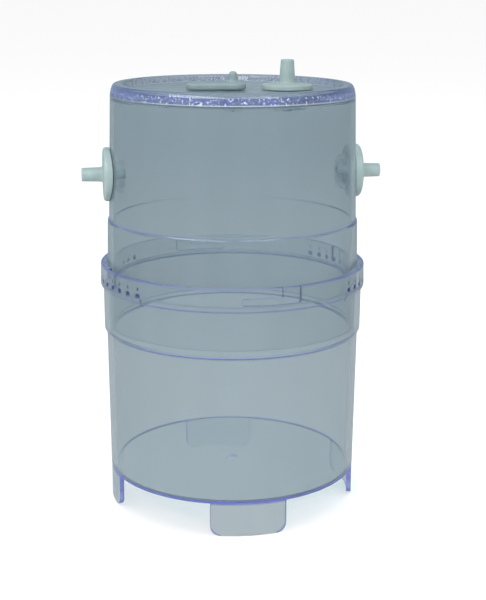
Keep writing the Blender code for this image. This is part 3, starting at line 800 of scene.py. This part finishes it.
def lock_nut(name, flats, bore):
    """A hexagonal nut lying on z = 0, with chamfered corners and a bored middle."""
    fresh()
    across = flats / sqrt(3)
    bpy.ops.mesh.primitive_cylinder_add(vertices=6, radius=across * MM, depth=NUT_THICK * MM,
                                        location=(0, 0, NUT_THICK / 2 * MM))
    nut = bpy.context.object
    nut.name = name
    bpy.ops.object.transform_apply(location=True, rotation=True, scale=True)
    chamfer = turned("nut_chamfer", [
        (0.5, -0.01, 0), (flats / 2, -0.01, 0), (across + 0.05, 0.8, 0),
        (across + 0.05, NUT_THICK - 0.8, 0), (flats / 2, NUT_THICK + 0.01, 0),
        (0.5, NUT_THICK + 0.01, 0)], 64)
    carve(nut, chamfer, "INTERSECT")
    hole = turned("nut_hole", [
        (0.5, -1, 0), (bore + 1.4, -1, 0), (bore, 0.4, 0), (bore, NUT_THICK - 0.4, 0),
        (bore + 1.4, NUT_THICK + 1, 0), (0.5, NUT_THICK + 1, 0)], 48)
    carve(nut, hole)
    return nut


CLOUD_SCALE = 260.0
GRAIN_SCALE = 2200.0


def solid_plastic(name, colour, cloudy, roughness):
    """Milky moulded plastic with a cloudy tone and a fine satin grain."""
    f = Finish(name)
    spot = f.add("TexCoord").outputs["Object"]
    cloud = f.add("TexNoise", None, {"Vector": spot, "Scale": CLOUD_SCALE, "Detail": 4.0})
    grain = f.add("TexNoise", None, {"Vector": spot, "Scale": GRAIN_SCALE, "Detail": 2.0})
    bump = f.add("Bump", None, {"Strength": 0.15, "Distance": 0.0001,
                                "Height": f.number(grain.outputs[0]) + f.number(cloud.outputs[0])})
    tone = f.add("Mix", {"data_type": "RGBA"}, {
        "Factor": ((f.number(cloud.outputs[0]) - 0.3) * 2.5).clamped(),
        6: (*colour, 1), 7: (*cloudy, 1)})
    skin = f.add("BsdfPrincipled", None, {
        "Base Color": tone.outputs[2], "Normal": bump.outputs[0], "IOR": 1.45,
        "Roughness": roughness + f.number(grain.outputs[0]) * 0.12})
    return f.show(skin.outputs[0])


milky = solid_plastic("milky_plastic", (0.27, 0.36, 0.365), (0.33, 0.42, 0.42), 0.32)
pale = clear_plastic("nut_plastic", (0.95, 0.965, 0.975), (0.38, 0.46, 0.52), 0.1, 1.05)
wall_x = casing_radius(NIPPLE_AT)
SADDLE_LOW = SKIRT_TOP + 2
SADDLE_HIGH = SHOULDER - 2
SADDLE_GAP = 0.3
SADDLE_REACH = 13
SADDLE_DEPTH = 4
for side, lean in (("left", -1), ("right", 1)):
    fitting = nipple("nipple_" + side, NUT_FACE - NUT_THICK - 1, NUT_FACE + 0.6, **SIDE_SIZES)
    stand(fitting, lean * wall_x, NIPPLE_AT, lean)
    saddle = turned("saddle", [
        (1, SADDLE_LOW, 0), (casing_radius(SADDLE_LOW) + SADDLE_GAP, SADDLE_LOW, 0),
        (casing_radius(SADDLE_HIGH) + SADDLE_GAP, SADDLE_HIGH, 0), (1, SADDLE_HIGH, 0)])
    saddle_tool = turned("saddle_ring", [
        (SHANK + 0.2, WASHER_ROOM - 0.05, 0), (SADDLE_REACH, WASHER_ROOM - 0.05, 0),
        (SADDLE_REACH, -SADDLE_DEPTH, 0), (SHANK + 0.2, -SADDLE_DEPTH, 0)], 64, ring=True)
    carve(stand(saddle_tool, lean * wall_x, NIPPLE_AT, lean), saddle, "INTERSECT")
    carve(fitting, saddle_tool)
    smoothed(fitting)
    painted(fitting, milky, pale)
    for face in fitting.data.polygons:
        face.material_index = 1 if lean * face.center.x < (wall_x - WALL_DEPTH) * MM else 0
    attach(fitting, "casing")
    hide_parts("hose_nipple_" + side)
    nut = lock_nut("lock_nut_" + side, NUT_FLATS, HOLE)
    stand(nut, lean * (wall_x + NUT_FACE - NUT_THICK), NIPPLE_AT, lean)
    smoothed(nut)
    painted(nut, pale)
    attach(nut, "casing")
    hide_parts("nipple_nut_" + side)

top_nut_face = -(RECESS - PLATE_LOW) - 0.3
top_nipple = nipple("nipple_top", top_nut_face - NUT_THICK - 1, top_nut_face + 0.6, **TOP_SIZES)
smoothed(stand(top_nipple, TOP_NIPPLE_X, RECESS, 0))
painted(top_nipple, milky, pale)
for face in top_nipple.data.polygons:
    face.material_index = 1 if face.center.z < (RECESS - WALL_DEPTH) * MM else 0
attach(top_nipple, "casing")
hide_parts("hose_nipple_top")
top_nut = lock_nut("lock_nut_top", NUT_FLATS, HOLE)
smoothed(stand(top_nut, TOP_NIPPLE_X, RECESS + top_nut_face - NUT_THICK, 0))
painted(top_nut, pale)
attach(top_nut, "casing")
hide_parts("nipple_nut_top")

# ---------------------------------------------------------------------------
# Washers: the four flat silicone rings under the flanges keep their CAD shape.
# ---------------------------------------------------------------------------
for node in ("nipple_seal_left", "nipple_seal_right", "nipple_seal_top", "vent_seal"):
    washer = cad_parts[node]
    painted(washer, silicone)

# ---------------------------------------------------------------------------
# Vent fitting: a milky oblong base with a thin bored stub on the canister's axis, and the
# small nut that holds it from below.
# ---------------------------------------------------------------------------
VENT_LENGTH = 26.4
VENT_WIDTH = 11.0
VENT_OFFSET = -7.4
VENT_HIGH = 3.0
STUB = 1.95
STUB_TIP = 8.1
VENT_BORE = 0.8
VENT_SHANK = 3.3
VENT_POCKET = 5.2
VENT_UNDERSIDE = 0.3
VENT_EDGE = 0.8
VENT_NUT_FLATS = 9.6
VENT_NUT_BORE = 3.6
FLAT_TURN = radians(180 / 64)
fresh()
bpy.ops.mesh.primitive_cylinder_add(
    vertices=64, radius=VENT_WIDTH / 2 * MM, depth=(VENT_HIGH - VENT_UNDERSIDE) * MM,
    location=(0, 0, (VENT_HIGH + VENT_UNDERSIDE) / 2 * MM), rotation=(0, 0, FLAT_TURN))
vent = bpy.context.object
vent.name = "vent_base"
bpy.ops.object.transform_apply(location=True, rotation=True, scale=True)
reach = (VENT_LENGTH - VENT_WIDTH) / 2 * MM
for point in vent.data.vertices:
    point.co.x += (reach if point.co.x > 0 else -reach) + VENT_OFFSET * MM
vent_edge = vent.modifiers.new("eased_edge", "BEVEL")
vent_edge.width = VENT_EDGE * MM
vent_edge.segments = 4
vent_edge.limit_method = "ANGLE"
bpy.ops.object.modifier_apply(modifier=vent_edge.name)
carve(vent, turned("vent_pocket", [
    (0.5, -1, 0), (VENT_POCKET, -1, 0), (VENT_POCKET, WASHER_ROOM, 0), (0.5, WASHER_ROOM, 0)], 64))
vent_end = top_nut_face - NUT_THICK - 1
carve(vent, turned("vent_stub", [
    (0.5, vent_end, 0), (VENT_SHANK - 0.4, vent_end, 0),
    *ribbed(VENT_SHANK, 0.3, vent_end + 0.3, top_nut_face + 0.6), (VENT_SHANK, top_nut_face + 0.6, 0),
    (VENT_SHANK, 1.9, 0), (STUB + 2.6, VENT_HIGH - 0.1, 0), (STUB + 0.6, VENT_HIGH + 0.5, 0.5),
    (STUB, VENT_HIGH + 1.3, 0.6), (STUB - 0.2, STUB_TIP - 0.6, 1.2), (0.5, STUB_TIP, 0)], 48), "UNION")
carve(vent, turned("vent_drill", [(VENT_BORE, vent_end - 2, 0), (VENT_BORE, STUB_TIP + 2, 0)], 24))
smoothed(stand(vent, 0, RECESS, 0))
# The vent's milky plastic is painted darker than the nipples', as painted shade for the top recess it
# stands in.
vent_painted_shade = solid_plastic("vent_painted_shade", (0.20, 0.28, 0.30), (0.25, 0.33, 0.345), 0.35)
painted(vent, vent_painted_shade, pale)
for face in vent.data.polygons:
    face.material_index = 1 if face.center.z < (RECESS - WALL_DEPTH) * MM else 0
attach(vent, "casing")
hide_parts("vent_fitting")
vent_nut = lock_nut("vent_lock_nut", VENT_NUT_FLATS, VENT_NUT_BORE)
smoothed(stand(vent_nut, 0, RECESS + top_nut_face - NUT_THICK, 0))
painted(vent_nut, pale)
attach(vent_nut, "casing")
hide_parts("vent_nut")
